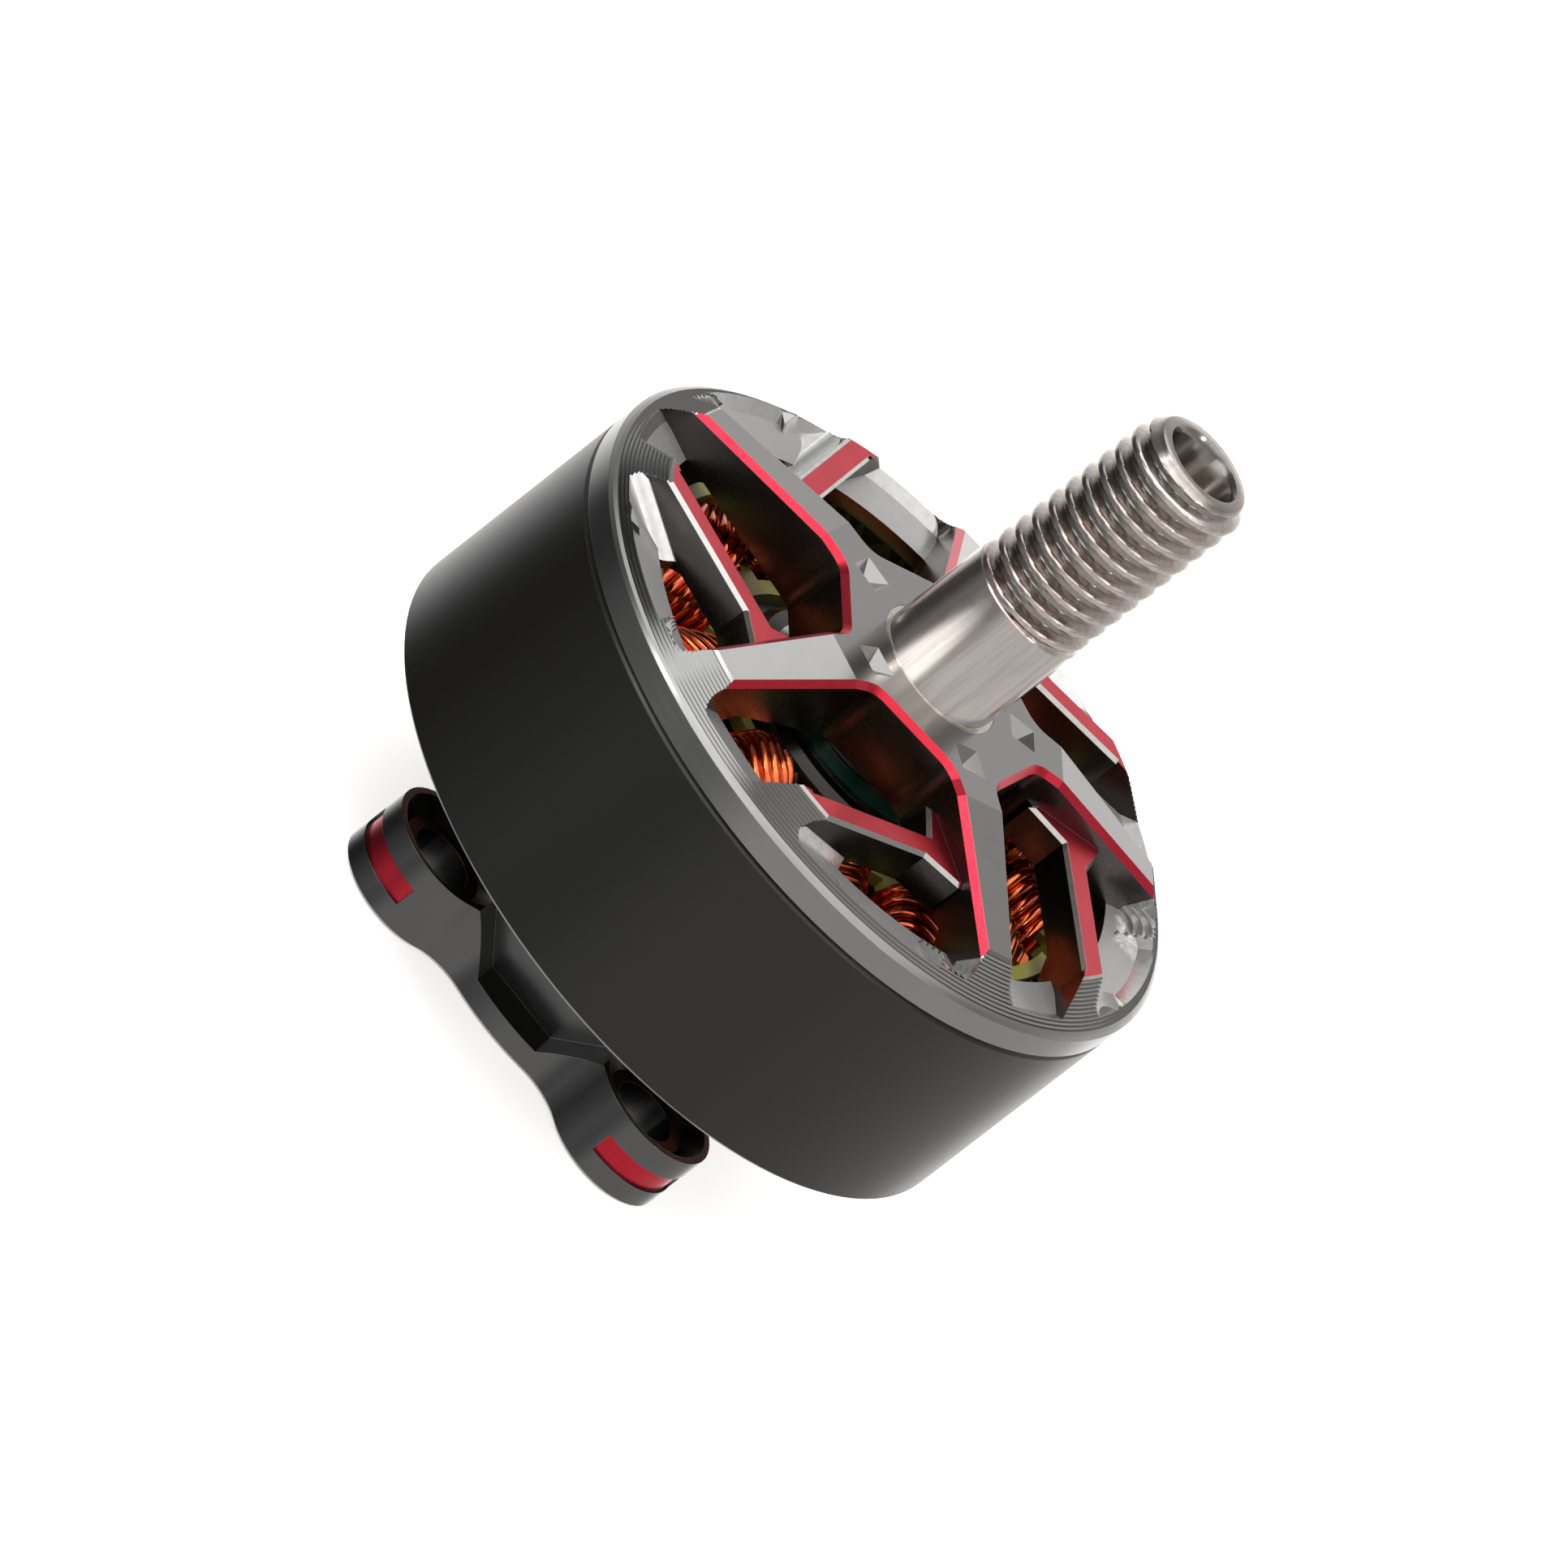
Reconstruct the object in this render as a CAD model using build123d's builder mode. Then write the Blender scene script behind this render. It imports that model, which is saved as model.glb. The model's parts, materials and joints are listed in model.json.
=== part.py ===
from build123d import *
from math import cos, radians, sin
import os

# Brushless outrunner motor, millimetres, +Z along the shaft.
# The origin is the centre of the mounting face, under the base.
# The square of mounting lugs stands on the diagonals of the X and Y axes.

os.makedirs("parts", exist_ok=True)

# Mounting base
MOUNT_PCD = 16.0
MOUNT_HOLE_R = 1.25
LUG_R = 2.6
LUG_TOP = 2.8
LUG_DISH_R = 2.35
LUG_DISH_DEPTH = 0.6
BASE_DISC_R = 7.15
WEB_BLEND_R = 2.0
WEB_TOP = 0.96
POCKET_HALF_WIDTH = 1.6
WIRE_EXIT_HALF_WIDTH = 2.8
MARK_HALF_ANGLE = 49.5
MARK_HEIGHT = 0.87
MARK_DEPTH = 0.12
TUBE_R = 5.35
TUBE_TOP = 15.3
TUBE_SHOULDER_R = 3.9
STATOR_SEAT_R = 6.1
STATOR_SEAT_THICKNESS = 1.0

# Bearings, 4 x 9 x 4
BEARING_BORE_R = 2.0
BEARING_R = 4.5
BEARING_WIDTH = 4.0
LOWER_BEARING_Z = 1.6
UPPER_BEARING_Z = TUBE_TOP - BEARING_WIDTH
BALL_R = 0.75
BALL_PITCH_R = 3.25
BALL_COUNT = 7
GROOVE_R = BALL_R + 0.05
INNER_RACE_R = 2.7
OUTER_RACE_BORE_R = 3.85
SEAL_R = 4.05
SEAL_BORE_R = 2.75
SEAL_THICKNESS = 0.25
SEAL_INSET = 0.1

# Stator
TOOTH_COUNT = 12
FIRST_TOOTH_ANGLE = 19.5
CORE_BOTTOM = 7.2
CORE_HEIGHT = 7.0
CORE_R = 11.0
SHOE_BORE_R = 10.25
SLOT_GAP = 1.1
YOKE_R = 6.7
TOOTH_WIDTH = 1.9
INSULATOR_PLATE = 0.5
INSULATOR_WIDTH = 2.1
INSULATOR_FLANGE = 1.1
COIL_INNER_R = 7.0
COIL_OUTER_R = 9.9
COIL_INNER_HALF = 1.72
COIL_OUTER_HALF = 2.48
COIL_OVERHANG = 1.7
COIL_EDGE_R = 0.9

# Bell: flux ring, magnets and cap
BELL_R = 13.75
RING_BOTTOM = 6.3
RING_TOP = 15.3
RING_BORE_R = 12.65
RING_EDGE = 0.12
MAGNET_COUNT = 14
MAGNET_BORE_R = 11.25
MAGNET_BOTTOM = 6.9
MAGNET_HEIGHT = 7.6
MAGNET_ARC = 21.0
BAND_HEIGHT = 1.2
HUB_TOP = 19.07
RIM_TOP = 17.8
RIM_TOP_R = 12.05
RIM_FOOT_R = 13.5
RIM_FOOT = 16.58
GROOVE_COUNT = 13
GROOVE_DEPTH = 0.05
CAP_UNDERSIDE = 16.3
CAP_RIM_UNDERSIDE = 15.7
SPIGOT_BORE_R = 11.6
SPIGOT_BOTTOM = 14.7
BOSS_R = 3.4
BOSS_BOTTOM = 15.9

# Spokes, pockets and struts of the cap
SPOKE_COUNT = 5
FIRST_SPOKE_ANGLE = 29.1
SPOKE_STEP = 360 / SPOKE_COUNT
FACET_START = 6.1
SPOKE_HUB_HALF = 1.18
SPOKE_RIM_HALF = 0.77
HUB_EDGE = 4.71
POCKET_R = 13.2
POCKET_CORNER_R = 1.0
POCKET_RIM_CORNER_R = 0.8
POCKET_EDGE = 0.23
THROAT_R = 11.2
THROAT_Z = 16.25
LEDGE_R = 12.7
LEDGE_RISE = 0.25
LEDGE_RIM_RISE = 0.6
STRUT_WIDTH = 1.1
STRUT_EDGE = 0.14
STRUT_FOOT = 15.3
STRUT_OUTER_R = 12.28
STRUT_OUTER_ANGLE = 26.8
STRUT_INNER_R = 8.0
STRUT_INNER_ANGLE = 63.2
LAND_START_ANGLE = 17.3
LAND_END_ANGLE = 27.7
RAMP_END_ANGLE = 40.5
RAMP_LENGTH = 3.3
RAMP_PIPE_R = 1.1
RAMP_PIPE_OFFSET = 0.9
RAMP_START_DEPTH = 1.05
RAMP_SLOPE = 14.0
RAMP_LIP = 0.4
ROOT_INNER_REACH = 1.6
ROOT_OUTER_REACH = 0.9
ROOT_RUN = 1.6
TERRACE_COUNT = 4
TERRACE_R = 0.85
TERRACE_ALONG = 12.25
TERRACE_STEP = 0.3
TERRACE_TOP = 17.1
TERRACE_RISE = 0.18
DIMPLE_R = 4.1
DIMPLE_SIZE = 1.2
DIMPLE_DEPTH = 0.42
DIMPLE_TAPER = 50.0

# Shaft and what holds it
SHAFT_R = 2.5
SHAFT_SEAT_R = 2.7
SHAFT_BORE_R = 1.45
SHAFT_LOWER_BORE_R = 1.25
SHAFT_BORE_CHAMFER = 0.2
THREAD_START = 23.5
THREAD_CREST_R = 2.47
THREAD_CREST_ROUNDING = 0.02
THREAD_ROOT_R = 2.03
THREAD_PITCH = 0.8
THREAD_COUNT = 10
# Places along one pitch of the thread, as shares of the pitch.
ROOT_START_SHARE = 0.14
ROOT_END_SHARE = 0.36
CREST_START_SHARE = 0.61
CREST_MIDDLE_SHARE = 0.74
CREST_END_SHARE = 0.87
SHAFT_TOP = 31.8
SHAFT_TIP_R = 2.0
WASHER_R = 2.9
WASHER_BOTTOM = 1.2
SCREW_HEAD_R = 1.95
SCREW_HEAD_HEIGHT = 0.8
SCREW_END = 7.0
SCREW_SOCKET_R = 0.75


def polar(radius, angle):
    """Point in the XY plane at a radius and an angle in degrees."""
    return (radius * cos(radians(angle)), radius * sin(radians(angle)))


def turned(angle, height=0.0):
    """Horizontal plane at a height, turned about the shaft."""
    return Plane.XY.offset(height).rotated((0, 0, angle))


def radial_section(angle):
    """Upright plane through the shaft: local x is the radius, local y is the height."""
    return Plane.XZ.rotated((0, 0, angle))


def spoke_angle_of(spoke):
    """Direction of one spoke, in degrees."""
    return FIRST_SPOKE_ANGLE + spoke * SPOKE_STEP


def finish(piece, name):
    """Label one piece and write it."""
    piece.part.label = name
    export_step(piece.part, f"parts/{name}.step")


# ---------------------------------------------------------------- base

with BuildPart() as base:
    with BuildSketch() as base_outline:
        Circle(BASE_DISC_R)
        with PolarLocations(MOUNT_PCD / 2, 4, start_angle=45):
            Circle(LUG_R)
        fillet(base_outline.vertices(), WEB_BLEND_R)
    extrude(amount=LUG_TOP)
    foot_edges = base.edges().group_by(Axis.Z)[0]
    chamfer(foot_edges, 0.15)

    # Pockets between the lugs, with sides that lean out at 45 degrees.
    # The one on +Y is wider: the winding leads go out there.
    for quarter in range(4):
        outward = Vector(1, 0, 0).rotate(Axis.Z, 90 * quarter)
        sideways = Vector(0, 1, 0).rotate(Axis.Z, 90 * quarter)
        floor_half = WIRE_EXIT_HALF_WIDTH if quarter == 1 else POCKET_HALF_WIDTH
        top_half = floor_half + LUG_TOP - WEB_TOP
        with BuildSketch(Plane(origin=outward * TUBE_R, x_dir=sideways, z_dir=outward)):
            with BuildLine():
                Polyline(
                    (-floor_half, WEB_TOP),
                    (floor_half, WEB_TOP),
                    (top_half, LUG_TOP),
                    (-top_half, LUG_TOP),
                    close=True,
                )
            make_face()
        extrude(amount=BASE_DISC_R, mode=Mode.SUBTRACT)

    # Bearing tube with the seat that the stator rests on.
    with BuildSketch(Plane.XZ):
        with BuildLine():
            Polyline(
                (0, 0.5),
                (TUBE_R, 0.5),
                (TUBE_R, CORE_BOTTOM - STATOR_SEAT_THICKNESS - 0.75),
                (STATOR_SEAT_R, CORE_BOTTOM - STATOR_SEAT_THICKNESS),
                (STATOR_SEAT_R, CORE_BOTTOM),
                (TUBE_R, CORE_BOTTOM),
                (TUBE_R, TUBE_TOP - 0.3),
                (TUBE_R - 0.3, TUBE_TOP),
                (0, TUBE_TOP),
                close=True,
            )
        make_face()
    revolve(axis=Axis.Z)

    # Bearing seats at both ends of the tube.
    with BuildSketch(Plane.XZ):
        with BuildLine():
            Polyline(
                (0, -1),
                (BEARING_R + 0.3, -1),
                (BEARING_R + 0.3, 0),
                (BEARING_R, 0.3),
                (BEARING_R, LOWER_BEARING_Z + BEARING_WIDTH),
                (TUBE_SHOULDER_R, LOWER_BEARING_Z + BEARING_WIDTH),
                (TUBE_SHOULDER_R, UPPER_BEARING_Z),
                (BEARING_R, UPPER_BEARING_Z),
                (BEARING_R, TUBE_TOP + 1),
                (0, TUBE_TOP + 1),
                close=True,
            )
        make_face()
    revolve(axis=Axis.Z, mode=Mode.SUBTRACT)

    # Threaded holes through the lugs, under a dished top.
    with PolarLocations(MOUNT_PCD / 2, 4, start_angle=45):
        Cylinder(MOUNT_HOLE_R, 3 * LUG_TOP, mode=Mode.SUBTRACT)
    with Locations((0, 0, LUG_TOP)):
        with PolarLocations(MOUNT_PCD / 2, 4, start_angle=45):
            Cone(
                LUG_DISH_R - LUG_DISH_DEPTH,
                LUG_DISH_R,
                LUG_DISH_DEPTH,
                align=(Align.CENTER, Align.CENTER, Align.MAX),
                mode=Mode.SUBTRACT,
            )

    # Engraved mark round the outer face of each lug.
    for quarter in range(4):
        lug_angle = 45 + 90 * quarter
        lug_centre = polar(MOUNT_PCD / 2, lug_angle)
        mark_plane = Plane(
            origin=(*lug_centre, (LUG_TOP - MARK_HEIGHT) / 2),
            x_dir=(*polar(1, lug_angle), 0),
            z_dir=(0, 0, 1),
        )
        reach = 2 * LUG_R
        with BuildSketch(mark_plane):
            with BuildLine():
                Polyline((0, 0), polar(reach, -MARK_HALF_ANGLE), (reach, 0),
                         polar(reach, MARK_HALF_ANGLE), close=True)
            make_face()
            Circle(LUG_R - MARK_DEPTH, mode=Mode.SUBTRACT)
        extrude(amount=MARK_HEIGHT, mode=Mode.SUBTRACT)
finish(base, "base")


# ---------------------------------------------------------------- bearings


def build_bearing(side, bottom):
    """One deep-groove ball bearing: two races, a ball set in its cage and two seals."""
    middle = bottom + BEARING_WIDTH / 2
    top = bottom + BEARING_WIDTH
    seal_depth = SEAL_INSET + SEAL_THICKNESS

    with BuildPart() as inner_race:
        with BuildSketch(Plane.XZ):
            with Locations(((BEARING_BORE_R + INNER_RACE_R) / 2, middle)):
                Rectangle(INNER_RACE_R - BEARING_BORE_R, BEARING_WIDTH)
            with Locations((BALL_PITCH_R, middle)):
                Circle(GROOVE_R, mode=Mode.SUBTRACT)
        revolve(axis=Axis.Z)
    finish(inner_race, f"{side}_bearing_inner_race")

    with BuildPart() as outer_race:
        with BuildSketch(Plane.XZ):
            with Locations(((OUTER_RACE_BORE_R + BEARING_R) / 2, middle)):
                Rectangle(BEARING_R - OUTER_RACE_BORE_R, BEARING_WIDTH)
            with Locations((BALL_PITCH_R, middle)):
                Circle(GROOVE_R, mode=Mode.SUBTRACT)
            with Locations((SEAL_R / 2, top - seal_depth / 2), (SEAL_R / 2, bottom + seal_depth / 2)):
                Rectangle(SEAL_R, seal_depth, mode=Mode.SUBTRACT)
        revolve(axis=Axis.Z)
    finish(outer_race, f"{side}_bearing_outer_race")

    with BuildPart() as balls:
        with Locations((0, 0, middle)):
            with PolarLocations(BALL_PITCH_R, BALL_COUNT):
                Sphere(BALL_R)
    finish(balls, f"{side}_bearing_balls")

    with BuildPart() as cage:
        with BuildSketch(Plane.XY.offset(middle - 0.4)):
            Circle(BALL_PITCH_R + 0.3)
            Circle(BALL_PITCH_R - 0.3, mode=Mode.SUBTRACT)
        extrude(amount=1.5)
        with Locations((0, 0, middle)):
            with PolarLocations(BALL_PITCH_R, BALL_COUNT):
                Sphere(BALL_R + 0.02, mode=Mode.SUBTRACT)
    finish(cage, f"{side}_bearing_cage")

    for place, height in (("upper", top - seal_depth), ("lower", bottom + SEAL_INSET)):
        with BuildPart() as seal:
            with BuildSketch(Plane.XY.offset(height)):
                Circle(SEAL_R)
                Circle(SEAL_BORE_R, mode=Mode.SUBTRACT)
            extrude(amount=SEAL_THICKNESS)
        finish(seal, f"{side}_bearing_{place}_seal")


build_bearing("lower", LOWER_BEARING_Z)
build_bearing("upper", UPPER_BEARING_Z)


# ---------------------------------------------------------------- stator

SLOT_ANGLE = FIRST_TOOTH_ANGLE + 180 / TOOTH_COUNT
CORE_TOP = CORE_BOTTOM + CORE_HEIGHT

with BuildPart() as stator_core:
    with BuildSketch(Plane.XY.offset(CORE_BOTTOM)):
        Circle(CORE_R)
        Circle(SHOE_BORE_R, mode=Mode.SUBTRACT)
        with PolarLocations(CORE_R, TOOTH_COUNT, start_angle=SLOT_ANGLE):
            Rectangle(CORE_R - SHOE_BORE_R + 1, SLOT_GAP, mode=Mode.SUBTRACT)
        Circle(YOKE_R)
        with PolarLocations((YOKE_R + SHOE_BORE_R) / 2, TOOTH_COUNT, start_angle=FIRST_TOOTH_ANGLE):
            Rectangle(SHOE_BORE_R - YOKE_R + 0.4, TOOTH_WIDTH)
        Circle(TUBE_R, mode=Mode.SUBTRACT)
    extrude(amount=CORE_HEIGHT)
finish(stator_core, "stator_core")


def build_insulator(name, face, direction):
    """End insulator: a plate on the core's end and a low flange at each tooth tip."""
    with BuildPart() as insulator:
        with BuildSketch(Plane.XY.offset(face)):
            Circle(YOKE_R)
            with PolarLocations((YOKE_R + SHOE_BORE_R) / 2, TOOTH_COUNT, start_angle=FIRST_TOOTH_ANGLE):
                Rectangle(SHOE_BORE_R - YOKE_R + 0.4, INSULATOR_WIDTH)
            Circle(STATOR_SEAT_R, mode=Mode.SUBTRACT)
        extrude(amount=direction * INSULATOR_PLATE)
        with BuildSketch(Plane.XY.offset(face)):
            Circle(SHOE_BORE_R + 0.25)
            Circle(COIL_OUTER_R + 0.05, mode=Mode.SUBTRACT)
            with PolarLocations(SHOE_BORE_R, TOOTH_COUNT, start_angle=SLOT_ANGLE):
                Rectangle(2, SLOT_GAP + 0.3, mode=Mode.SUBTRACT)
        extrude(amount=direction * INSULATOR_FLANGE)
    finish(insulator, name)


build_insulator("upper_insulator", CORE_TOP, 1)
build_insulator("lower_insulator", CORE_BOTTOM, -1)

for number in range(TOOTH_COUNT):
    coil_plane = turned(FIRST_TOOTH_ANGLE + number * 360 / TOOTH_COUNT, CORE_BOTTOM - COIL_OVERHANG)
    with BuildPart() as coil:
        with BuildSketch(coil_plane):
            with BuildLine():
                Polyline(
                    (COIL_INNER_R, -COIL_INNER_HALF),
                    (COIL_OUTER_R + 0.5, -COIL_OUTER_HALF),
                    (COIL_OUTER_R + 0.5, COIL_OUTER_HALF),
                    (COIL_INNER_R, COIL_INNER_HALF),
                    close=True,
                )
            make_face()
            Circle(COIL_OUTER_R, mode=Mode.INTERSECT)
        extrude(amount=CORE_HEIGHT + 2 * COIL_OVERHANG)
        long_edges = coil.edges().filter_by(lambda edge: abs(edge.tangent_at(0.5).Z) < 0.1
                                            and abs(edge.tangent_at(0.5).dot(coil_plane.x_dir)) > 0.9)
        fillet(long_edges, COIL_EDGE_R)
        with BuildSketch(coil_plane.offset(COIL_OVERHANG - INSULATOR_PLATE)):
            with Locations(((COIL_INNER_R + COIL_OUTER_R) / 2, 0)):
                Rectangle(COIL_OUTER_R - COIL_INNER_R + 1, INSULATOR_WIDTH)
        extrude(amount=CORE_HEIGHT + 2 * INSULATOR_PLATE, mode=Mode.SUBTRACT)
    finish(coil, f"coil_{number + 1:02d}")


# ---------------------------------------------------------------- flux ring and magnets

with BuildPart() as flux_ring:
    with BuildSketch(Plane.XZ):
        with Locations(((RING_BORE_R + BELL_R) / 2, (RING_BOTTOM + RING_TOP) / 2)):
            Rectangle(BELL_R - RING_BORE_R, RING_TOP - RING_BOTTOM)
    revolve(axis=Axis.Z)
    ring_rims = flux_ring.edges().filter_by(GeomType.CIRCLE).filter_by(lambda edge: edge.radius > BELL_R - 0.1)
    chamfer(ring_rims, RING_EDGE)
finish(flux_ring, "flux_ring")

for number in range(MAGNET_COUNT):
    with BuildPart() as magnet:
        with BuildSketch(turned(FIRST_SPOKE_ANGLE + number * 360 / MAGNET_COUNT, MAGNET_BOTTOM)):
            with BuildLine():
                Polyline((0, 0), polar(2 * BELL_R, -MAGNET_ARC / 2), (2 * BELL_R, 0),
                         polar(2 * BELL_R, MAGNET_ARC / 2), close=True)
            make_face()
            Circle(RING_BORE_R, mode=Mode.INTERSECT)
            Circle(MAGNET_BORE_R, mode=Mode.SUBTRACT)
        extrude(amount=MAGNET_HEIGHT)
    finish(magnet, f"magnet_{number + 1:02d}")


# ---------------------------------------------------------------- bell cap

# What a pocket leaves standing, in the frame of one spoke: the ledge ring, the
# diagonal strut and its land on the rim, the ramp beside it, and corner terraces.
FACET_SLOPE = (HUB_TOP - RIM_TOP) / (RIM_TOP_R - FACET_START)
strut_outer = Vector(*polar(STRUT_OUTER_R, STRUT_OUTER_ANGLE))
strut_inner = Vector(*polar(STRUT_INNER_R, STRUT_INNER_ANGLE))
strut_run = (strut_inner - strut_outer).normalized()
strut_side = Vector(-strut_run.Y, strut_run.X)


def spoke_wall(along, side):
    """Point on the side wall of the spoke on local +X."""
    share = (along - FACET_START) / (POCKET_R - FACET_START)
    return (along, side * (SPOKE_HUB_HALF + share * (SPOKE_RIM_HALF - SPOKE_HUB_HALF)))


def next_spoke(point):
    """The same point one spoke further round."""
    turned_point = Vector(*point).rotate(Axis.Z, SPOKE_STEP)
    return (turned_point.X, turned_point.Y)


def hub_corner(side):
    """Where a spoke's side wall meets the hub's edge."""
    wall_slope = (SPOKE_RIM_HALF - SPOKE_HUB_HALF) / (POCKET_R - FACET_START)
    wall_at_axis = SPOKE_HUB_HALF - FACET_START * wall_slope
    half_step = radians(SPOKE_STEP / 2)
    along = (HUB_EDGE - wall_at_axis * sin(half_step)) / (cos(half_step) + wall_slope * sin(half_step))
    return (along, side * (wall_at_axis + wall_slope * along))


def pocket_path(reach):
    """Outline of the pocket ahead of the spoke on local +X, out to a distance along the spokes."""
    return FilletPolyline(
        spoke_wall(reach, 1),
        hub_corner(1),
        next_spoke(hub_corner(-1)),
        next_spoke(spoke_wall(reach, -1)),
        polar(2 * reach, SPOKE_STEP / 2),
        radius=POCKET_CORNER_R,
        close=True,
    )


def strut_point(along, aside):
    """Point beside the strut's centre line: along it from the rim, aside towards the spoke behind."""
    return strut_outer + strut_run * along + strut_side * aside


STRUT_HALF = STRUT_WIDTH / 2
STRUT_LENGTH = (strut_inner - strut_outer).length
STRUT_OVERRUN = 2.0
RAMP_DROP = Vector(0, 0, -sin(radians(RAMP_SLOPE)))
ramp_run = strut_run * cos(radians(RAMP_SLOPE)) + RAMP_DROP
ramp_up = strut_run * sin(radians(RAMP_SLOPE)) + Vector(0, 0, cos(radians(RAMP_SLOPE)))
ramp_floor = strut_point(0, -STRUT_HALF - RAMP_PIPE_OFFSET) + Vector(0, 0, RIM_TOP - RAMP_START_DEPTH)

# Sloping half-pipe beside the strut, from its land on the rim down to the opening.
with BuildPart() as ramp:
    with BuildSketch(Plane.XY.offset(STRUT_FOOT)):
        with BuildLine():
            Polyline(
                strut_point(0, -STRUT_HALF / 2),
                strut_point(RAMP_LENGTH, -STRUT_HALF / 2),
                polar(THROAT_R, RAMP_END_ANGLE),
                polar(POCKET_R, RAMP_END_ANGLE),
                polar(BELL_R, LAND_END_ANGLE),
                close=True,
            )
        make_face()
    extrude(amount=RIM_TOP - STRUT_FOOT)
    with BuildSketch(Plane(origin=ramp_floor + ramp_up * RAMP_LIP, x_dir=ramp_run, z_dir=ramp_up)):
        Rectangle(4 * RAMP_LENGTH, 4 * RAMP_LENGTH)
    extrude(amount=RIM_TOP - STRUT_FOOT, mode=Mode.SUBTRACT)
    with BuildSketch(Plane(origin=ramp_floor + ramp_up * RAMP_PIPE_R, z_dir=ramp_run)):
        Circle(RAMP_PIPE_R)
    extrude(amount=3 * RAMP_LENGTH, both=True, mode=Mode.SUBTRACT)

with BuildPart() as pocket_floor:
    with BuildSketch(Plane.XZ):
        with BuildLine():
            Polyline(
                (THROAT_R, SPIGOT_BOTTOM - 1),
                (THROAT_R, THROAT_Z),
                (LEDGE_R, THROAT_Z + LEDGE_RISE),
                (POCKET_R, THROAT_Z + LEDGE_RIM_RISE),
                (BELL_R + 1, THROAT_Z + LEDGE_RIM_RISE),
                (BELL_R + 1, SPIGOT_BOTTOM - 1),
                close=True,
            )
        make_face()
    revolve(axis=Axis.Z)

    for spoke in range(SPOKE_COUNT):
        spoke_angle = spoke_angle_of(spoke)
        # Strut with bevelled edges, and its flared root against the next spoke.
        strut_corners = [
            strut_point(0, -STRUT_HALF),
            strut_point(STRUT_LENGTH + STRUT_OVERRUN, -STRUT_HALF),
            strut_point(STRUT_LENGTH + STRUT_OVERRUN, STRUT_HALF),
            strut_point(0, STRUT_HALF),
        ]
        root_corners = [
            strut_point(STRUT_LENGTH - ROOT_RUN, STRUT_EDGE / 2 - STRUT_HALF),
            strut_point(STRUT_LENGTH, -STRUT_HALF - ROOT_OUTER_REACH),
            strut_point(STRUT_LENGTH + STRUT_OVERRUN, 0),
            strut_point(STRUT_LENGTH, STRUT_HALF + ROOT_INNER_REACH),
            strut_point(STRUT_LENGTH - ROOT_RUN / 2, STRUT_HALF - STRUT_EDGE / 2),
        ]
        for corners in (strut_corners, root_corners):
            with BuildSketch(turned(spoke_angle, STRUT_FOOT)):
                with BuildLine():
                    Polyline(*corners, close=True)
                make_face()
            extrude(amount=RIM_TOP - STRUT_EDGE - STRUT_FOOT)
            with BuildSketch(turned(spoke_angle, RIM_TOP - STRUT_EDGE)):
                with BuildLine():
                    Polyline(*corners, close=True)
                make_face()
            extrude(amount=STRUT_EDGE, taper=45)

        # Land of the strut on the rim.
        with BuildSketch(turned(spoke_angle, STRUT_FOOT)):
            with BuildLine():
                Polyline(
                    strut_point(0.3, STRUT_HALF),
                    polar(POCKET_R + 0.3, LAND_START_ANGLE),
                    polar(POCKET_R + 0.3, LAND_END_ANGLE),
                    strut_point(0.3, -STRUT_HALF),
                    close=True,
                )
            make_face()
        extrude(amount=RIM_TOP - STRUT_FOOT)
        add(ramp.part.rotate(Axis.Z, spoke_angle))

        # Terraces that step down from the rim along the near side of the spoke.
        for step in range(TERRACE_COUNT):
            arc_centre = (TERRACE_ALONG - step * TERRACE_STEP, -SPOKE_RIM_HALF - TERRACE_R)
            with BuildSketch(turned(spoke_angle, STRUT_FOOT)):
                with Locations(arc_centre):
                    Rectangle(POCKET_R, 2 * TERRACE_R, align=(Align.MIN, Align.CENTER))
                    Circle(TERRACE_R, mode=Mode.SUBTRACT)
            extrude(amount=TERRACE_TOP - step * TERRACE_RISE - STRUT_FOOT)

with BuildPart() as pockets:
    for spoke in range(SPOKE_COUNT):
        with BuildSketch(turned(spoke_angle_of(spoke), SPIGOT_BOTTOM - 0.5)):
            with BuildLine():
                pocket_path(POCKET_R + 2)
            make_face()
            Circle(POCKET_R, mode=Mode.INTERSECT)
            rim_corners = vertices().sort_by_distance((0, 0))[-2:]
            fillet(rim_corners, POCKET_RIM_CORNER_R)
        extrude(amount=HUB_TOP - SPIGOT_BOTTOM + 2)
    add(pocket_floor.part, mode=Mode.SUBTRACT)

    # Bevel round the hub's side of each pocket.
    for spoke in range(SPOKE_COUNT):
        with BuildSketch(turned(spoke_angle_of(spoke), HUB_TOP)):
            with BuildLine():
                pocket_path(RIM_TOP_R)
            make_face()
            offset(amount=POCKET_EDGE, kind=Kind.INTERSECTION)
        extrude(amount=-POCKET_EDGE, taper=45)

GROOVE_PITCH_R = (RIM_FOOT_R - RIM_TOP_R) / GROOVE_COUNT
GROOVE_PITCH_Z = (RIM_TOP - RIM_FOOT) / GROOVE_COUNT
groove_line = []
for groove in range(GROOVE_COUNT):
    crest_r = RIM_FOOT_R - groove * GROOVE_PITCH_R
    crest_z = RIM_FOOT + groove * GROOVE_PITCH_Z
    groove_line.append((crest_r, crest_z))
    groove_line.append((crest_r - GROOVE_PITCH_R / 2 - GROOVE_DEPTH / 2,
                        crest_z + GROOVE_PITCH_Z / 2 - GROOVE_DEPTH))

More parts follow.
